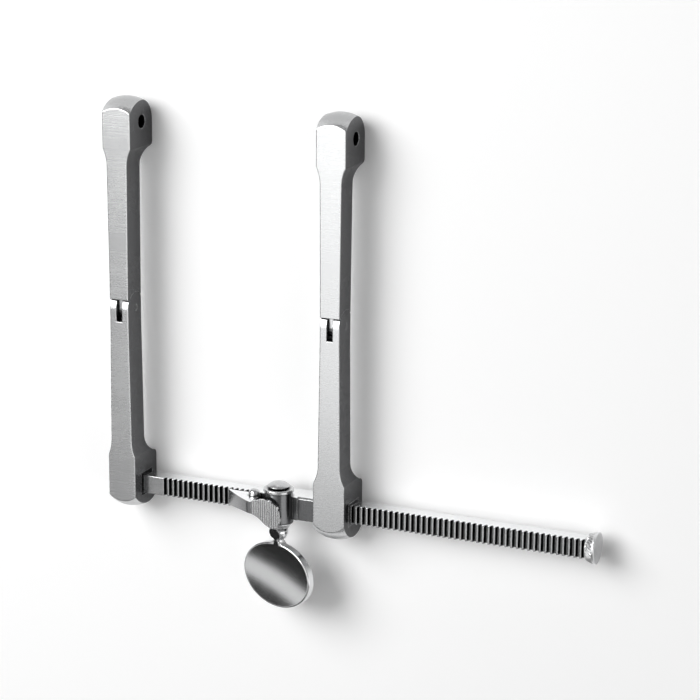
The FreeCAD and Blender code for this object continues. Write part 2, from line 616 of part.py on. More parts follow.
def makeGearCase():
    body = newBody("gear_case")
    right = "$slidingFootWidth / 2"
    sleeve = newSketch(body, "Sleeve", "x", "-$sleeveReach")
    drawBox(sleeve, "-$sleeveHalf", "$sleeveLow", "$sleeveHalf", "$sleeveHigh")
    first = pad(body, sleeve, "x", f"$sleeveReach + {right}")

    def frontEdge(edge):
        box = edge.BoundBox
        high = number("$sleeveHigh")
        return box.XLength > number("$sleeveReach") and abs(box.ZMin - high) < 1e-4 and box.YMin > 0
    dress(body, "Chamfer", first, frontEdge, "Size", "$sleeveBevel")
    axisX = "-$pinionOffset"
    boss = newSketch(body, "Boss", "y", "-$sleeveHalf")
    drawOutline(boss, [
        (f"{axisX} - $bossHalf", "$rackZ"),
        (f"{axisX} + $bossHalf", "$rackZ"),
        (f"{axisX} + $bossHalf", "$sleeveHigh + $bossProud"),
        (f"{axisX} - $bossHalf", "$sleeveHigh + $bossProud"),
    ])
    pad(body, boss, "y", "2 * $sleeveHalf")
    barrel = newSketch(body, "Barrel", "y", "$barrelBottom")
    drawCircle(barrel, axisX, "$pinionZ", "$barrelRadius")
    pad(body, barrel, "y", "$barrelTop - $barrelBottom")
    pivotX = f"{axisX} - $pivotBack"
    lug = newSketch(body, "Lug", "y", "$lugTop - $lugHeight")
    drawOutline(lug, [
        (f"{axisX} - $caseBore", "$pivotZ - $eyeRadius"),
        (f"{axisX} - $caseBore", "$pivotZ + $eyeRadius"),
        (pivotX, "$pivotZ + $eyeRadius"),
        (f"{pivotX} - $eyeRadius", "$pivotZ", "$eyeRadius"),
        (pivotX, "$pivotZ - $eyeRadius", "$eyeRadius"),
    ])
    pad(body, lug, "y", "$lugHeight")
    guide = newSketch(body, "Guide", "x", "-$sleeveReach - $overrun")
    drawBox(guide, "-$rackWidth / 2 - $slideFit", "$crestZ - $rackDepth - $slideFit",
            "$rackWidth / 2 + $slideFit", "$crestZ + $slideFit")
    pocket(body, guide, "x", f"$sleeveReach + {right} + 2 * $overrun")
    bore = newSketch(body, "CaseBore", "y", "$barrelBottom - $overrun")
    drawCircle(bore, axisX, "$pinionZ", "$caseBore")
    pocket(body, bore, "y", "$barrelTop - $barrelBottom + 2 * $overrun")
    screw = newSketch(body, "ScrewHole", "y", "$lugTop - $lugHeight - $overrun")
    drawCircle(screw, pivotX, "$pivotZ", "$pivotRadius")
    pocket(body, screw, "y", "$lugHeight + 2 * $overrun")
    dowel = newSketch(body, "CaseDowelHole", "z", "$sleeveLow - $overrun")
    drawCircle(dowel, "$dowelOffset", "0", "$dowelRadius")
    pocket(body, dowel, "z", "$dowelBite + $overrun")
    bind(body, "Placement.Base.x", "$armSpacing")
    return body


# A turned piece on the pinion's or the lever's axis, from its outline beside that axis
def makeTurned(label, corners, centreX, centreZ):
    body = newBody(label)
    sketch = newSketch(body, label + "Profile", "z")
    drawOutline(sketch, corners)
    turn(body, sketch, "V_Axis")
    bind(body, "Placement.Base.x", centreX)
    bind(body, "Placement.Base.z", centreZ)
    return body


def makeCollars():
    inner, outer = "$journalRadius + $runningFit", "$caseBore"
    end = "$pinionHalf + $endPlay"
    makeTurned("upper_collar", [
        (inner, end),
        (outer, end),
        (outer, "$barrelTop"),
        ("$collarRadius", "$barrelTop"),
        ("$collarRadius", "$collarTop - $collarRound"),
        ("$collarRadius - $collarRound", "$collarTop", "$collarRound"),
        (inner, "$collarTop"),
    ], "$pinionX", "$pinionZ")
    makeTurned("lower_bush", [
        (inner, "$bushEnd"),
        ("$bushNose", "$bushEnd"),
        ("$bushRadius", "$barrelBottom - $bushRim", "-$bushHollow"),
        ("$bushRadius", "$barrelBottom"),
        (outer, "$barrelBottom"),
        (outer, f"-({end})"),
        (inner, f"-({end})"),
    ], "$pinionX", "$pinionZ")


# Pinion and key

# One flank of a pinion tooth as points from root to tip, beside a tooth that points down
def flankPoints(side):
    count, tip, root = number("$pinionTeeth"), number("$pinionTip"), number("$pinionRoot")
    pressure = math.radians(number("$pressureAngle"))
    rolling = number("$pitchRadius")
    base = rolling * math.cos(pressure)
    thickness = number("$pitch / 2") + 2 * number("$pinionShift * $gearModule") * math.tan(
        pressure) - number("$backlash")
    middle = thickness / (2 * rolling) + math.tan(pressure) - pressure
    last = math.sqrt((tip / base) ** 2 - 1)
    steps = 5
    points = [Vector(side * root * math.sin(middle), 0, -root * math.cos(middle))]
    for step in range(steps + 1):
        roll = last * step / steps
        reach = base * math.hypot(1, roll)
        angle = middle - (roll - math.atan(roll))
        points.append(Vector(side * reach * math.sin(angle), 0, -reach * math.cos(angle)))
    return points


def makePinion():
    half, root = number("$pinionHalf"), number("$pinionRoot")
    left, right = flankPoints(-1), flankPoints(1)
    edges = []
    for flank in (left, right):
        curve = Part.BSplineCurve()
        curve.interpolate(flank[1:])
        edges += [Part.makeLine(flank[0], flank[1]), curve.toShape()]
    crown = Vector(0, 0, -number("$pinionTip"))
    edges.append(Part.Arc(left[-1], crown, right[-1]).toShape())
    edges.append(Part.makeLine(left[0], right[0]))
    tooth = Part.Face(Part.Wire(Part.__sortEdges__(edges)))
    tooth = tooth.extrude(Vector(0, 2 * half, 0))
    tooth.translate(Vector(0, -half, 0))
    down, axis = Vector(0, -half, 0), Vector(0, 1, 0)
    solid = Part.makeCylinder(root, 2 * half, down, axis)
    teeth = int(number("$pinionTeeth"))
    turned = []
    for index in range(teeth):
        copy = tooth.copy()
        copy.rotate(Vector(0, 0, 0), axis, index * 360 / teeth)
        turned.append(copy)
    bottom, top = number("$keyTop"), number("$capY")
    journal = Part.makeCylinder(number("$journalRadius"), top - bottom, Vector(0, bottom, 0), axis)
    spigotEnd = bottom - number("$spigotLength")
    spigot = Part.makeCylinder(number("$spigotRadius"), number("$spigotLength"),
                               Vector(0, spigotEnd, 0), axis)
    solid = solid.fuse(turned + [journal, spigot])
    stem = Part.makeCylinder(number("$capStem"), number("$capStemLength"),
                             Vector(0, top - number("$capStemLength"), 0), axis)
    across = number("$ballRadius")
    turnKey = Rotation(axis, -number("$keyTurn") - number("$meshTurn"))
    pinWay = turnKey.multVec(Vector(1, 0, 0))
    hole = Part.makeCylinder(number("$keyPinRadius"), 2 * across,
                             Vector(0, number("$ballY"), 0) - pinWay * across, pinWay)
    feature = doc.addObject("Part::Feature", "pinion")
    feature.Label = "pinion"
    feature.Shape = solid.cut([stem, hole]).removeSplitter()
    placeTurned(feature, "$meshTurn")


def makeCap():
    makeTurned("pinion_cap", [
        ("0", "$capY - $capStemLength"),
        ("$capStem", "$capY - $capStemLength"),
        ("$capStem", "$capY"),
        ("$capSeat", "$capY"),
        ("$capRadius", "$capY + $capRadius - $capSeat"),
        ("$capRadius", "$capY + $capRim"),
        ("0", "$capY + $capHeight",
         "($capRadius ^ 2 + ($capHeight - $capRim) ^ 2) / (2 * ($capHeight - $capRim))"),
    ], "$pinionX", "$pinionZ")


def makeKey():
    body = newBody("wing_key")
    bottom = "$keyY + $keyHalfHeight - $stemSink"
    stem = newSketch(body, "KeyStem", "z")
    drawOutline(stem, [
        ("0", bottom),
        ("$neckRadius", bottom),
        ("$neckRadius", "$ballY - $ballLow - $neckFillet"),
        ("sqrt($ballRadius ^ 2 - $ballLow ^ 2)", "$ballY - $ballLow", "-$neckHollow"),
        ("sqrt($ballRadius ^ 2 - ($keyTop - $ballY) ^ 2)", "$keyTop", "$ballRadius"),
        ("0", "$keyTop"),
    ])
    turn(body, stem, "V_Axis")
    plate = newSketch(body, "KeyPlate", "z", "-$keyThickness / 2", "0", "$keyY")
    oval = plate.addGeometry(Part.Ellipse(
        Vector(number("$keyHalfWidth"), 0, 0), Vector(0, number("$keyHalfHeight"), 0),
        Vector(0, 0, 0)), False)
    plate.exposeInternalGeometry(oval)
    plate.addConstraint(Sketcher.Constraint("Coincident", oval, 3, -1, 1))
    ruleFor(plate, "DistanceX", "$keyHalfWidth", -1, 1, oval + 1, 1)
    ruleFor(plate, "DistanceY", "$keyHalfHeight", -1, 1, oval + 2, 1)
    last = pad(body, plate, "z", "$keyThickness")

    def rim(edge):
        return edge.Length > 4 * number("$keyHalfHeight")
    dress(body, "Fillet", last, rim, "Radius", "$keyRound")
    # hollow shoulders between the neck and the plate
    shoulder = newSketch(body, "KeyShoulder", "z", "-$neckRadius + $shoulderInset")
    neckY = "$ballY - $ballLow - $neckFillet - $neckLength"
    rimY = "$keyY + $keyHalfHeight * sqrt(1 - ($keyShoulder / $keyHalfWidth) ^ 2) - $keyRound"
    drawOutline(shoulder, [
        ("$keyShoulder", rimY),
        ("$neckRadius - $shoulderInset", neckY, "-$shoulderHollow"),
        ("-$neckRadius + $shoulderInset", neckY),
        ("-$keyShoulder", rimY, "-$shoulderHollow"),
    ])
    pad(body, shoulder, "z", "2 * ($neckRadius - $shoulderInset)")
    for side, sign in (("Front", ""), ("Rear", "-")):
        dish = body.newObject("PartDesign::SubtractiveEllipsoid", "Dish" + side)
        bind(dish, "Radius1", "$dishReach")
        bind(dish, "Radius2", "($keyHalfWidth - $keyRim) / $dishShare")
        bind(dish, "Radius3", "($keyHalfHeight - $keyRim) / $dishShare")
        bind(dish, "Placement.Base.y", "$keyY")
        bind(dish, "Placement.Base.z",
             f"{sign}($keyThickness / 2 + $dishReach - $keyDish)")
    spigot = newSketch(body, "SpigotHole", "y", "$keyTop - $spigotLength")
    drawCircle(spigot, "0", "0", "$spigotRadius")
    pocket(body, spigot, "y", "$spigotLength + $overrun")
    pin = newSketch(body, "CrossHole", "x", "-$ballRadius - $overrun")
    drawCircle(pin, "$ballY", "0", "$keyPinRadius")
    pocket(body, pin, "x", "2 * ($ballRadius + $overrun)")
    placeTurned(body, "-$keyTurn")
    return body


# Sets a piece on the pinion's axis and turns it about that axis
def placeTurned(thing, angle):
    thing.Placement.Rotation = Rotation(Vector(0, 1, 0), 1)
    bind(thing, "Placement.Rotation.Angle", angle)
    bind(thing, "Placement.Base.x", "$pinionX")
    bind(thing, "Placement.Base.z", "$pinionZ")


def makeCrossPin():
    pin = doc.addObject("Part::Cylinder", "key_cross_pin")
    pin.Label = "key_cross_pin"
    bind(pin, "Radius", "$keyPinRadius")
    bind(pin, "Height", "2 * $crossPinHalf")
    pin.Placement.Rotation = Rotation(Vector(0, 1, 0), 1)
    bind(pin, "Placement.Rotation.Angle", "90 - $keyTurn")
    bind(pin, "Placement.Base.x", "$pinionX - $crossPinHalf * cos($keyTurn)")
    bind(pin, "Placement.Base.y", "$ballY")
    bind(pin, "Placement.Base.z", "$pinionZ - $crossPinHalf * sin($keyTurn)")


# Ratchet lever, drawn about its pivot

def makeLever():
    body = newBody("ratchet_lever")
    nose, tip = "$noseX - $pivotX", "$crestZ + $noseClear - $pivotZ"
    back, front = "-$eyeRadius", "$padFrontZ - $pivotZ"
    padBack = "$padBackZ - $pivotZ"
    endX = f"({nose} - $noseRoot - $leverTip)"
    endZ = "(-$eyeRadius + $leverTip)"
    # the front rises along a slightly bowed slope and bends into the pad's flat face
    bendX = "($bendEnd - $leverBend * sin($leverSlope))"
    bendZ = f"({front} - $leverBend * (1 - cos($leverSlope)))"
    run, rise = f"({bendX} - {endX})", f"({bendZ} - {endZ})"
    bow = (f"({run} ^ 2 + {rise} ^ 2) / "
           f"(2 * ({rise} * cos($leverSlope) - {run} * sin($leverSlope)))")
    arm = newSketch(body, "LeverPlan", "y", "$leverBottom")
    drawOutline(arm, [
        (f"{nose} + $noseHalf", tip),
        (f"{nose} + $noseRoot", back),
        ("0", back),
        ("$eyeRadius", "0", "$eyeRadius"),
        ("$eyeRadius", f"{padBack} - $padFillet"),
        ("$eyeRadius + $padFillet", padBack, "-$padFillet"),
        ("$eyeRadius + $padFillet", front),
        ("$bendEnd", front),
        (bendX, bendZ, "$leverBend"),
        (endX, endZ, bow),
        (f"{nose} - $noseRoot", back),
        (f"{nose} - $noseHalf", tip),
    ])
    pad(body, arm, "y", "$leverTop - $leverBottom")
    arch = newSketch(body, "LeverArch", "z", f"{back} - $noseClear - $overrun")
    drawOutline(arch, [
        (f"{endX} - $overrun", "$leverBottom - $overrun"),
        ("$eyeRadius + $padFillet + $overrun", "$leverBottom - $overrun"),
        ("$eyeRadius + $padFillet + $overrun", "$archTop"),
        ("$archEnd", "$archTop"),
        (endX, "$leverBottom", "$archHollow"),
        (f"{endX} - $overrun", "$leverBottom"),
    ])
    pocket(body, arch, "z", f"{front} - {back} + 2 * $overrun")
    thumb = newSketch(body, "ThumbPad", "z", padBack)
    drawOutline(thumb, [
        ("$archEnd", "$archTop"),
        ("$padWaistX", "$padWaistY", "-$padHollow"),
        ("$padToeX", "$padToeY", "$padFlank"),
        ("$padEndX", "$padEndLow", "$padToe"),
        ("$padEndX", "$padEndHigh", "$padCheek"),
        ("$padTopX", "$padTopY", "$padShoulder"),
        ("$padRoot", "$leverTop", "$padBrow"),
        ("$archEnd", "$leverTop"),
    ])
    pad(body, thumb, "z", "$padThickness")
    # room for the lug under the eye, the spring's seat and the pivot hole
    seat = "$lugTop + $endPlay"
    room = "$eyeRadius + $lugRoom"
    under = newSketch(body, "LugRoom", "y", "$leverBottom - $overrun")
    drawOutline(under, [
        ("$eyeRadius + $overrun", f"-({room})"),
        ("$eyeRadius + $overrun", room),
        ("0", room),
        (f"-({room})", "0", room),
        ("0", f"-({room})", room),
    ])
    pocket(body, under, "y", f"{seat} - $leverBottom + $overrun")
    well = newSketch(body, "SpringSeat", "y", f"{seat} - $overrun")
    drawCircle(well, "0", "0", "$springRadius + $springWire + $springRoom")
    pocket(body, well, "y",
           "$springTurns * $springPitch + 2 * $springWire + $springRoom + $overrun")
    eye = newSketch(body, "PivotHole", "y", f"{seat} - $overrun")
    drawCircle(eye, "0", "0", "$pivotRadius + $runningFit")
    pocket(body, eye, "y", "$leverTop - $lugTop + 2 * $overrun")
    # one groove between the pad's ridges, repeated across it
    first = "($bendEnd + $ridgePitch)"
    valley = newSketch(body, "PadGroove", "y", "$padToeY - $padToe")
    drawOutline(valley, [
        (first, f"{front} - $ridgeDepth"),
        (f"{first} + $ridgeWidth / 2", front),
        (f"{first} - $ridgeWidth / 2", front),
    ])
    cut = pocket(body, valley, "y", "$padTopY - $padToeY + 2 * $padToe")
    doc.recompute()
    ridges = body.newObject("PartDesign::LinearPattern", "PadRidges")
    ridges.Originals = [cut]
    ridges.Direction = (valley, ["H_Axis"])
    bind(ridges, "Length", "($ridgeCount - 1) * $ridgePitch")
    bind(ridges, "Occurrences", "$ridgeCount")
    body.Tip = ridges
    bind(body, "Placement.Base.x", "$pivotX")
    bind(body, "Placement.Base.z", "$pivotZ")


def makePivotScrew():
    seat = "$leverTop + $runningFit"
    makeTurned("pivot_screw", [
        ("0", "$lugTop - $lugHeight"),
        ("$pivotRadius", "$lugTop - $lugHeight"),
        ("$pivotRadius", seat),
        ("$screwHead", seat),
        ("$screwHead", f"{seat} + $screwRim"),
        ("0", f"{seat} + $screwRim + $screwHead", "$screwHead"),
    ], "$pivotX", "$pivotZ")


def makeSpring():
    coil = doc.addObject("Part::Helix", "SpringCoil")
    bind(coil, "Radius", "$springRadius")
    bind(coil, "Pitch", "$springPitch")
    bind(coil, "Height", "$springTurns * $springPitch")
    wire = doc.addObject("Part::Circle", "SpringWire")
    bind(wire, "Radius", "$springWire")
    wire.Placement.Rotation = Rotation(Vector(1, 0, 0), 90)
    bind(wire, "Placement.Base.x", "$springRadius")
    spring = doc.addObject("Part::Sweep", "lever_spring")
    spring.Label = "lever_spring"
    spring.Sections = [wire]
    spring.Spine = (coil, ["Edge1"])
    spring.Solid = True
    spring.Frenet = True
    spring.Placement.Rotation = Rotation(Vector(1, 0, 0), -90)
    bind(spring, "Placement.Base.x", "$pivotX")
    bind(spring, "Placement.Base.y", "$lugTop + $springWire")
    bind(spring, "Placement.Base.z", "$pivotZ")


makeRack()
makeKnob()
makeFixedLowerArm()
makeUpperArm("fixed_upper_arm", "$fixedHingeY", "0")
makeSlidingLowerArm()
makeUpperArm("sliding_upper_arm", "$slidingHingeY", "$armSpacing")
alongX, alongZ = Vector(1, 0, 0), Vector(0, 0, 1)
makeCylinder("fixed_hinge_pin", "$pinRadius", "$shankHingeWidth", alongX,
             "-$shankHingeWidth / 2", "$fixedHingeY", "$pinZ")
makeCylinder("sliding_hinge_pin", "$pinRadius", "$shankHingeWidth", alongX,
             "$armSpacing - $shankHingeWidth / 2", "$slidingHingeY", "$pinZ")
makeCylinder("rack_dowel", "$dowelRadius", "$crestZ - $rackDepth + $dowelGrip", alongZ,
             "$dowelOffset", "0", "0")
makeCylinder("case_dowel", "$dowelRadius", "$sleeveLow + $dowelBite", alongZ,
             "$armSpacing + $dowelOffset", "0", "0")
makeGearCase()
makeCollars()
makePinion()
makeCap()
makeKey()
makeCrossPin()
makeLever()
makePivotScrew()
makeSpring()
doc.recompute()

nodes = ["rack_bar", "end_knob", "rack_dowel", "fixed_lower_arm", "fixed_hinge_pin",
         "fixed_upper_arm", "sliding_lower_arm", "gear_case", "upper_collar", "lower_bush",
         "case_dowel", "sliding_hinge_pin", "pivot_screw", "lever_spring",
         "sliding_upper_arm", "pinion", "pinion_cap", "wing_key", "key_cross_pin",
         "ratchet_lever"]

# Every feature must have recomputed, and every cut must have taken something away
for thing in doc.Objects:
    if "Invalid" in thing.State or "Error" in thing.State:
        raise RuntimeError(f"{thing.Label} did not recompute: {thing.State}")
    if thing.TypeId in ("PartDesign::Pocket", "PartDesign::Groove"):
        before = thing.BaseFeature.Shape.Volume
        if before - thing.Shape.Volume < 1e-3:
            raise RuntimeError(f"{thing.Label} cuts nothing")

os.makedirs("parts", exist_ok=True)
for name in nodes:
    piece = next(thing for thing in doc.Objects if thing.Label == name)
    shape = piece.Shape
    if shape.isNull() or not shape.isValid() or len(shape.Solids) != 1:
        raise RuntimeError(f"{name} is not one valid solid")
    shape.exportStep(f"parts/{name}.step")
    print(name, round(shape.Volume, 1))
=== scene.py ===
import bmesh
import bpy
import math
from mathutils import Matrix, Vector


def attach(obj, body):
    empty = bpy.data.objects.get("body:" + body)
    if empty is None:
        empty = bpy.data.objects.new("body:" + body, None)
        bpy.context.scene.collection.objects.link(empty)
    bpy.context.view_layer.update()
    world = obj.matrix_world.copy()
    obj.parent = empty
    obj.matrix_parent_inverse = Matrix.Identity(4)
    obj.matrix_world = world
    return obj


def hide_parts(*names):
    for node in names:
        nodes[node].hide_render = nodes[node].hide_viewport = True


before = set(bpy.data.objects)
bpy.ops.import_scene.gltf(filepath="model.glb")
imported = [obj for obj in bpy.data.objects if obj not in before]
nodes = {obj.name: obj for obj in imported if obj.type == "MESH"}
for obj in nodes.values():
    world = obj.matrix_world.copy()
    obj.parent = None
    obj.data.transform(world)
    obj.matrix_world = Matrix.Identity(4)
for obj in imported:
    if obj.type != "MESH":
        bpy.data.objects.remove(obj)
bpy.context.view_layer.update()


class ShaderValue:
    # one socket of a material, so that shader maths reads as an expression
    def __init__(self, tree, socket=None):
        self.tree = tree
        self.socket = socket

    def make(self, nodeType, settings=None, sockets=None, output=0):
        node = self.tree.nodes.new(nodeType)
        for name, value in (settings or {}).items():
            setattr(node, name, value)
        for name, value in (sockets or {}).items():
            if isinstance(value, ShaderValue):
                self.tree.links.new(value.socket, node.inputs[name])
            else:
                node.inputs[name].default_value = value
        return ShaderValue(self.tree, node.outputs[output]) if node.outputs else None

    def maths(self, operation, first, second=0):
        return self.make("ShaderNodeMath", {"operation": operation}, {0: first, 1: second})

    def __add__(self, other):
        return self.maths("ADD", self, other)

    def __radd__(self, other):
        return self.maths("ADD", other, self)

    def __sub__(self, other):
        return self.maths("SUBTRACT", self, other)

    def __rsub__(self, other):
        return self.maths("SUBTRACT", other, self)

    def __mul__(self, other):
        return self.maths("MULTIPLY", self, other)

    def __rmul__(self, other):
        return self.maths("MULTIPLY", other, self)

    def __pow__(self, power):
        return self.maths("POWER", self, power)

    def clamped(self):
        return self.make("ShaderNodeClamp", None, {"Value": self})

    def eased(self, low, high):
        # 0 below low, 1 above high, with a soft step between them
        return self.make("ShaderNodeMapRange", {"interpolation_type": "SMOOTHSTEP"},
                         {"Value": self, "From Min": low, "From Max": high})

    def mixedColours(self, first, second):
        # a Mix node's colours are its sockets 6 and 7, and its output 2
        ends = [colour if isinstance(colour, ShaderValue) else (*colour, 1)
                for colour in (first, second)]
        return self.make("ShaderNodeMix", {"data_type": "RGBA"},
                         {0: self, 6: ends[0], 7: ends[1]}, output=2)


# Steel finishes. Lengths are metres.

# the front tone colours faces that look along Z, the sideways and upward tones faces that look
# along X and Y; these tones of one steel differ only by which way a face looks, painted light and
# shade for how the lamps fall on each face
armFinish = {
    "front": (0.66, 0.665, 0.67), "side": (0.105, 0.106, 0.109), "top": (0.44, 0.443, 0.448),
    "spread": 0.10, "rough": 0.27, "roughSpread": 0.06,
    "linesPerMetre": 2600, "lineStretch": 30, "lineDepth": 0.000005,
}
caseFinish = {
    "front": (0.19, 0.192, 0.196), "side": (0.14, 0.141, 0.144), "top": (0.88, 0.885, 0.89),
    "spread": 0.12, "rough": 0.24, "roughSpread": 0.08,
    "linesPerMetre": 1700, "lineStretch": 60, "lineDepth": 0.00001,
}
leverFinish = {
    "front": (0.27, 0.272, 0.276), "side": (0.75, 0.753, 0.758), "top": (0.88, 0.885, 0.89),
    "spread": 0.12, "rough": 0.24, "roughSpread": 0.08,
    "linesPerMetre": 1700, "lineStretch": 60, "lineDepth": 0.00001, "edge": 0.00012,
}
rackFinish = {
    "front": (0.60, 0.605, 0.61), "side": (0.10, 0.101, 0.104), "top": (0.82, 0.825, 0.83),
    "spread": 0.12, "rough": 0.22, "roughSpread": 0.10,
    "linesPerMetre": 2200, "lineStretch": 80, "lineDepth": 0.000008,
}
keyFinish = {
    "dark": (0.66, 0.665, 0.67), "light": (0.78, 0.785, 0.79),
    "rough": 0.15, "roughSpread": 0.04,
    "smudgeScale": 120, "scratchScale": 900, "scratchDepth": 0.000002,
}
turnedFinish = {
    "dark": (0.50, 0.503, 0.508), "light": (0.68, 0.683, 0.688),
    "rough": 0.27, "roughSpread": 0.06,
    "smudgeScale": 200, "scratchScale": 1500, "scratchDepth": 0.000002,
}
knurlFinish = {
    "dark": (0.62, 0.623, 0.628), "light": (0.86, 0.863, 0.868),
    "rough": 0.32, "roughSpread": 0.06, "edge": 0.00006,
    "smudgeScale": 200, "scratchScale": 1500, "scratchDepth": 0.000002,
}
# how squarely a face has to look sideways or upwards to take its painted sideways or upward
# shading
paintedFaceShading = {"sideFrom": 0.55, "sideTo": 0.9, "topFrom": 0.6, "topTo": 0.9}
grain = {
    "lineDetail": 3, "cloudScale": 55, "cloudDetail": 4, "cloudRough": 0.06,
    "smudgeDetail": 4, "scratchDetail": 2, "scratchStretch": 0.08, "noiseRoughness": 0.6,
}
# shares of the light tone; the edge share is a painted highlight along edges
lightShares = {"smudge": 0.7, "scratch": 0.3, "edge": 0.2}
# a pale tone mixed in along edges, a painted highlight
edgeHighlight = {
    "radius": 0.0004, "samples": 8, "gain": 4.0, "share": 0.8, "tone": (0.86, 0.865, 0.87),
}
# near black mixed in where ambient occlusion finds crevices, painted shade
creviceShade = {"reach": 0.0016, "samples": 8, "gain": 1.5, "tone": (0.03, 0.03, 0.031)}
# a lighter pad tone, painted light, with near-dark valleys, painted shade
padPaintedLightAndShade = {
    "startX": 0.0820, "endX": 0.0828, "tone": (0.78, 0.783, 0.788),
    "valleyX": 0.0841, "valleyStep": 0.0013, "valleyShadeTone": (0.20, 0.202, 0.206),
    "valleyFrom": 0.35, "valleyTo": 0.95,
}
# a near black tone inside the blade bore, painted shade
bladeBoreShade = {"y": 0.2032, "z": 0.0117, "radius": 0.0038, "tone": (0.012, 0.012, 0.013)}


def startMaterial(name):
    material = bpy.data.materials.new(name)
    material.use_nodes = True
    tree = material.node_tree
    tree.nodes.clear()
    return material, ShaderValue(tree)


def finishMaterial(maker, shader):
    maker.make("ShaderNodeOutputMaterial", None, {"Surface": shader})


def paintedEdgeHighlight(maker, finish):
    # the rounded normal leaves the plain one only beside an edge; there the colour is lightened
    # as a painted highlight, and the rounded normal also feeds the bump
    rounded = maker.make("ShaderNodeBevel", {"samples": edgeHighlight["samples"]},
                         {"Radius": finish.get("edge", edgeHighlight["radius"])})
    plain = maker.make("ShaderNodeNewGeometry", output="Normal")
    same = maker.make("ShaderNodeVectorMath", {"operation": "DOT_PRODUCT"},
                      {0: rounded, 1: plain}, output="Value")
    return ((1 - same) * edgeHighlight["gain"]).clamped(), rounded


def paintedCreviceShade(maker, colour):
    # painted shade where the pieces meet and in the bottoms of the grooves, darkened by ambient
    # occlusion
    opening = maker.make("ShaderNodeAmbientOcclusion", {"samples": creviceShade["samples"]},
                         {"Distance": creviceShade["reach"]}, output="AO")
    creviceShadeMask = ((1 - opening) * creviceShade["gain"]).clamped()
    return creviceShadeMask.mixedColours(colour, creviceShade["tone"])


def objectPlace(maker):
    return maker.make("ShaderNodeTexCoord", output="Object")


def axesOf(maker, vector):
    split = maker.make("ShaderNodeSeparateXYZ", None, {"Vector": vector})
    outputs = split.socket.node.outputs
    return [ShaderValue(maker.tree, outputs[axis]) for axis in "XYZ"]


def facing(maker):
    # how squarely the surface looks along each of the object's axes
    normal = maker.make("ShaderNodeTexCoord", output="Normal")
    return [part.maths("ABSOLUTE", part) for part in axesOf(maker, normal)]


def stretched(maker, scale):
    return maker.make("ShaderNodeMapping", None,
                      {"Vector": objectPlace(maker), "Scale": scale})


def noise(maker, where, scale, detail):
    return maker.make("ShaderNodeTexNoise", None, {
        "Vector": where, "Scale": scale, "Detail": detail,
        "Roughness": grain["noiseRoughness"]})


def steelShader(maker, colour, rough, height, depth, rounded):
    bump = maker.make("ShaderNodeBump", None, {"Height": height, "Distance": depth,
                                               "Strength": 1.0, "Normal": rounded})
    finishMaterial(maker, maker.make("ShaderNodeBsdfPrincipled", None, {
        "Base Color": paintedCreviceShade(maker, colour), "Metallic": 1.0,
        "Roughness": rough.clamped(), "Normal": bump}))


def padWithPaintedShading(maker, colour, pad):
    # the pad takes a lighter tone as painted light, and every second valley between its ridges is
    # darkened as painted shade
    outwards = axesOf(maker, objectPlace(maker))[0]
    wave = (outwards - pad["valleyX"]) * (math.tau / pad["valleyStep"])
    valleyShade = wave.maths("COSINE", wave).eased(pad["valleyFrom"], pad["valleyTo"])
    shadedRidges = valleyShade.mixedColours(pad["tone"], pad["valleyShadeTone"])
    return outwards.eased(pad["startX"], pad["endX"]).mixedColours(colour, shadedRidges)


def paintedBoreShade(maker, colour, hole):
    # painted shade: the inside of the blade bore is coloured near black
    depth, height = axesOf(maker, objectPlace(maker))[1:]
    away = ((depth - hole["y"]) ** 2 + (height - hole["z"]) ** 2) ** 0.5
    inside = away.maths("LESS_THAN", away, hole["radius"])
    return inside.mixedColours(colour, hole["tone"])


def linedSteel(name, finish, hole=None, pad=None):
    # fine lines run across each face, as a belt leaves them
    material, maker = startMaterial(name)
    along, across = finish["lineStretch"], finish["linesPerMetre"]
    lines = noise(maker, stretched(maker, (along, across, across)), 1, grain["lineDetail"])
    cloud = noise(maker, stretched(maker, (1, 1, 1)),
                  grain["cloudScale"], grain["cloudDetail"])
    edges, rounded = paintedEdgeHighlight(maker, finish)
    sideways, upwards = facing(maker)[:2]
    # painted light and shade: faces that look sideways or upwards take their own darker or
    # lighter tones
    paintedSideShading = sideways.eased(paintedFaceShading["sideFrom"], paintedFaceShading["sideTo"])
    paintedTopShading = upwards.eased(paintedFaceShading["topFrom"], paintedFaceShading["topTo"])
    colour = paintedSideShading.mixedColours(finish["front"], finish["side"])
    colour = paintedTopShading.mixedColours(colour, finish["top"])
    shade = 1 - finish["spread"] + finish["spread"] * (lines + cloud)
    colour = maker.make("ShaderNodeVectorMath", {"operation": "SCALE"},
                        {0: colour, "Scale": shade})
    # painted highlight: edges lightened towards a pale tone
    colour = (edges * edgeHighlight["share"]).mixedColours(colour, edgeHighlight["tone"])
    if pad:
        colour = padWithPaintedShading(maker, colour, pad)
    if hole:
        colour = paintedBoreShade(maker, colour, hole)
    rough = (finish["rough"] + finish["roughSpread"] * (lines - 0.5)
             + grain["cloudRough"] * (cloud - 0.5))
    steelShader(maker, colour, rough, lines, finish["lineDepth"], rounded)
    return material


def polishedSteel(name, finish):
    material, maker = startMaterial(name)
    smudge = noise(maker, stretched(maker, (1, 1, 1)),
                   finish["smudgeScale"], grain["smudgeDetail"])
    scratch = noise(maker, stretched(maker, (1, grain["scratchStretch"], 1)),
                    finish["scratchScale"], grain["scratchDetail"])
    edges, rounded = paintedEdgeHighlight(maker, finish)
    # smudge and scratch vary the tone at random; the edge share adds a painted highlight along
    # edges
    tone = (lightShares["smudge"] * smudge + lightShares["scratch"] * scratch
            + lightShares["edge"] * edges).clamped()
    rough = finish["rough"] + finish["roughSpread"] * (smudge - 0.5)
    steelShader(maker, tone.mixedColours(finish["dark"], finish["light"]), rough,
                scratch, finish["scratchDepth"], rounded)
    return material


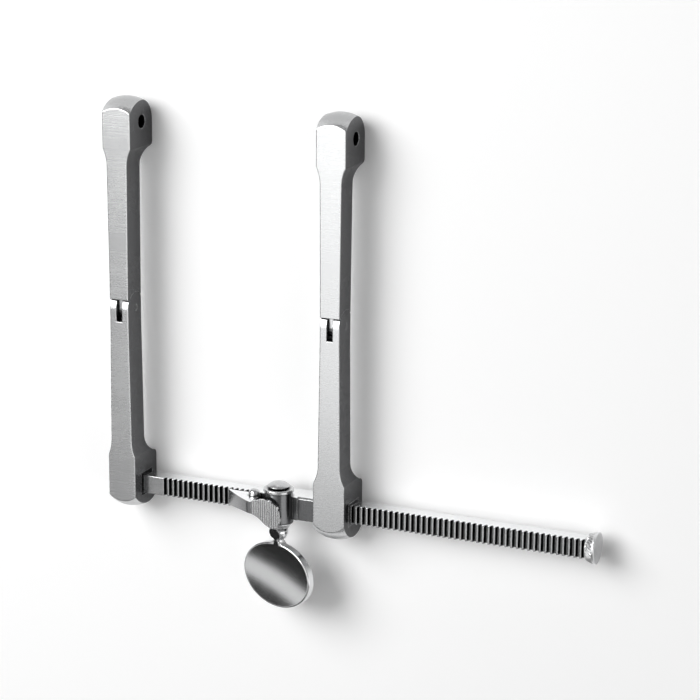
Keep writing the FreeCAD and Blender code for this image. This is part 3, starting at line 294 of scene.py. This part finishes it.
armSteel = linedSteel("satinArmSteel", armFinish)
headSteel = linedSteel("satinHeadSteel", armFinish, bladeBoreShade)
caseSteel = linedSteel("satinCaseSteel", caseFinish)
leverSteel = linedSteel("satinLeverSteel", leverFinish, pad=padPaintedLightAndShade)
rackSteel = linedSteel("milledRackSteel", rackFinish)
keySteel = polishedSteel("polishedKeySteel", keyFinish)
turnedSteel = polishedSteel("turnedSteel", turnedFinish)
knurledSteel = polishedSteel("knurledSteel", knurlFinish)

finishes = {
    "rack_bar": rackSteel, "end_knob": knurledSteel, "rack_dowel": rackSteel,
    "fixed_lower_arm": armSteel, "fixed_hinge_pin": rackSteel, "fixed_upper_arm": headSteel,
    "sliding_lower_arm": armSteel, "sliding_hinge_pin": rackSteel, "sliding_upper_arm": headSteel,
    "gear_case": caseSteel, "upper_collar": turnedSteel, "lower_bush": turnedSteel,
    "case_dowel": rackSteel, "pivot_screw": turnedSteel, "lever_spring": rackSteel,
    "pinion": rackSteel, "pinion_cap": turnedSteel, "wing_key": keySteel,
    "key_cross_pin": rackSteel, "ratchet_lever": leverSteel,
}
for name, material in finishes.items():
    for place in nodes[name].material_slots:
        place.material = material
print("steel finishes on", len(finishes), "nodes")


# Knob with a knurled cone

knurledKnob = {
    "backX": 0.26523, "axisZ": 0.0114, "backRadius": 0.0072, "rimRadius": 0.0086,
    "coneStart": 0.0002, "coneEnd": 0.0044, "backChamfer": 0.0003,
    "rimLength": 0.0011, "rimRound": 0.0004, "rimSteps": 4,
    "dishDepth": 0.0012, "dishRadius": 0.0079, "dishRings": 6,
    "columns": 56, "rows": 4, "knurlDepth": 0.00048, "weldDistance": 0.000001,
}


def knobOutline(size):
    # distances along the axis and from it, from the middle of the back to the dish
    start, cone = size["coneStart"], size["coneEnd"]
    face = cone + size["rimLength"]
    back, rim, rounding = size["backRadius"], size["rimRadius"], size["rimRound"]
    outline = [(0, 0), (0, back / 2), (0, back - size["backChamfer"])]
    for row in range(size["rows"] + 1):
        share = row / size["rows"]
        outline.append((start + (cone - start) * share, back + (rim - back) * share))
    for step in range(1, size["rimSteps"] + 1):
        angle = math.pi / 2 * step / size["rimSteps"]
        outline.append((face - rounding + rounding * math.sin(angle),
                        rim - rounding + rounding * math.cos(angle)))
    for ring in range(size["dishRings"] + 1):
        share = 1 - ring / size["dishRings"]
        outline.append((face - size["dishDepth"] * (1 - share ** 2),
                        size["dishRadius"] * share))
    return outline


def pressKnurl(mesh, size):
    # every second crossing of the cone's rows and columns is pressed in
    start, cone = size["coneStart"], size["coneEnd"]
    for vert in mesh.verts:
        radius = math.hypot(vert.co.y, vert.co.z)
        row = round((vert.co.x - start) / (cone - start) * size["rows"])
        column = round(math.atan2(vert.co.z, vert.co.y) / math.tau * size["columns"])
        onCone = 0 < row < size["rows"] and radius > size["backRadius"] and vert.co.x < cone
        if onCone and (row + column) % 2:
            inwards = 1 - size["knurlDepth"] / radius
            bmesh.ops.scale(mesh, verts=[vert], vec=(1, inwards, inwards))


def makeKnob(size):
    mesh = bmesh.new()
    points = [mesh.verts.new((along, out, 0)) for along, out in knobOutline(size)]
    line = [mesh.edges.new(pair) for pair in zip(points, points[1:])]
    bmesh.ops.spin(mesh, geom=points + line, cent=(0, 0, 0), axis=(1, 0, 0),
                   angle=math.tau, steps=size["columns"], use_merge=True)
    bmesh.ops.remove_doubles(mesh, verts=mesh.verts, dist=size["weldDistance"])
    pressKnurl(mesh, size)
    bmesh.ops.recalc_face_normals(mesh, faces=mesh.faces)
    for patch in mesh.faces:
        patch.smooth = patch.calc_center_median().x > size["coneEnd"]
    bmesh.ops.translate(mesh, verts=mesh.verts, vec=(size["backX"], 0, size["axisZ"]))
    data = bpy.data.meshes.new("knurledKnob")
    mesh.to_mesh(data)
    mesh.free()
    knob = bpy.data.objects.new("knurledKnob", data)
    bpy.context.scene.collection.objects.link(knob)
    data.materials.append(knurledSteel)
    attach(knob, "frame")
    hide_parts("end_knob")


makeKnob(knurledKnob)
print("knurled knob made")


# Stage: pale floor, soft boxes and the camera

stage = {
    "floorSize": 6.0, "floorDrop": 0.0002, "floorColour": (0.95, 0.95, 0.95, 1),
    "floorGlow": 0.12, "farGlow": 0.9, "farFrom": 0.45, "farTo": 1.6,
    "skyLevel": 0.05, "skySeen": 0.42, "darkSeen": 0.03,
    "darkTowards": (-0.80, -0.48, 0.36), "darkCore": 0.93, "darkEdge": 0.72,
}
softBoxes = [
    # name, place, width, height, watts, turn in degrees
    ("frontPanel", (-0.12, 0.08, 1.34), 1.00, 0.95, 3.6, 0),
    ("keyBox", (-0.90, 1.00, 1.52), 1.50, 1.50, 43, 0),
    ("dishStrip", (-0.985, -0.48, 0.778), 0.20, 0.80, 0.42, -36),
    ("edgeStrip", (1.40, -0.28, 0.55), 0.65, 1.20, 3.2, 0),
]
photoCamera = {
    "place": (0.5749, 0.3995, 1.0660),
    "back": (0.3747, 0.2610, 0.8897),
    "right": (0.9216, 0.0, -0.3882),
    "roll": math.radians(0.55),
    "lens": 115.26, "sensor": 36,
}
target = Vector((0.12, 0.09, 0.01))  # middle of the object


def seenDirectly(maker):
    # 1 for what the camera sees, also in the steel, and 0 for what lights the object
    kinds = [maker.make("ShaderNodeLightPath", output=kind) for kind in
             ("Is Camera Ray", "Is Glossy Ray", "Is Transmission Ray")]
    return (kinds[0] + kinds[1] + kinds[2]).clamped()


def makeFloor():
    bpy.ops.mesh.primitive_plane_add(size=stage["floorSize"],
                                     location=(target.x, target.y, -stage["floorDrop"]))
    floor = bpy.context.object
    floor.name = "paleFloor"
    material, maker = startMaterial("paleFloor")
    away = maker.make("ShaderNodeVectorMath", {"operation": "LENGTH"},
                      {0: objectPlace(maker)}, output="Value")
    farOff = away.eased(stage["farFrom"], stage["farTo"])
    strength = stage["floorGlow"] + stage["farGlow"] * farOff
    glow = maker.make("ShaderNodeEmission", None, {"Strength": seenDirectly(maker) * strength})
    matt = maker.make("ShaderNodeBsdfDiffuse", None, {"Color": stage["floorColour"]})
    finishMaterial(maker, maker.make("ShaderNodeAddShader", None, {0: matt, 1: glow}))
    floor.data.materials.append(material)


def makeLights():
    for name, place, width, height, watts, turned in softBoxes:
        lamp = bpy.data.lights.new(name, "AREA")
        lamp.shape = "RECTANGLE"
        lamp.size = width
        lamp.size_y = height
        lamp.energy = watts
        box = bpy.data.objects.new(name, lamp)
        bpy.context.scene.collection.objects.link(box)
        aim = (Vector(place) - target).to_track_quat("Z", "Y").to_matrix().to_4x4()
        box.matrix_world = (Matrix.Translation(place) @ aim
                            @ Matrix.Rotation(math.radians(turned), 4, "Z"))


def makeSky():
    # pale all round, and dark on the low left, where the key's dish looks
    world = bpy.data.worlds.new("paleSky")
    bpy.context.scene.world = world
    world.use_nodes = True
    world.node_tree.nodes.clear()
    maker = ShaderValue(world.node_tree)
    towards = maker.make("ShaderNodeTexCoord", output="Generated")
    darkest = Vector(stage["darkTowards"]).normalized()
    near = maker.make("ShaderNodeVectorMath", {"operation": "DOT_PRODUCT"},
                      {0: towards, 1: darkest}, output="Value")
    dark = near.eased(stage["darkEdge"], stage["darkCore"])
    pale = stage["skySeen"] - (stage["skySeen"] - stage["darkSeen"]) * dark
    level = stage["skyLevel"] + (pale - stage["skyLevel"]) * seenDirectly(maker)
    shader = maker.make("ShaderNodeBackground", None, {"Strength": level})
    maker.make("ShaderNodeOutputWorld", None, {"Surface": shader})


def makeCamera():
    lens = bpy.data.cameras.new("photoCamera")
    lens.lens = photoCamera["lens"]
    lens.sensor_width = photoCamera["sensor"]
    camera = bpy.data.objects.new("photoCamera", lens)
    bpy.context.scene.collection.objects.link(camera)
    back = Vector(photoCamera["back"]).normalized()
    right = Vector(photoCamera["right"])
    right = (right - right.dot(back) * back).normalized()
    up = back.cross(right)
    turn = Matrix((right, up, back)).transposed().to_4x4()
    camera.matrix_world = (Matrix.Translation(photoCamera["place"]) @ turn
                           @ Matrix.Rotation(photoCamera["roll"], 4, "Z"))
    bpy.context.scene.camera = camera


makeFloor()
makeLights()
makeSky()
makeCamera()
bpy.context.scene.view_settings.view_transform = "Standard"
print("stage ready")
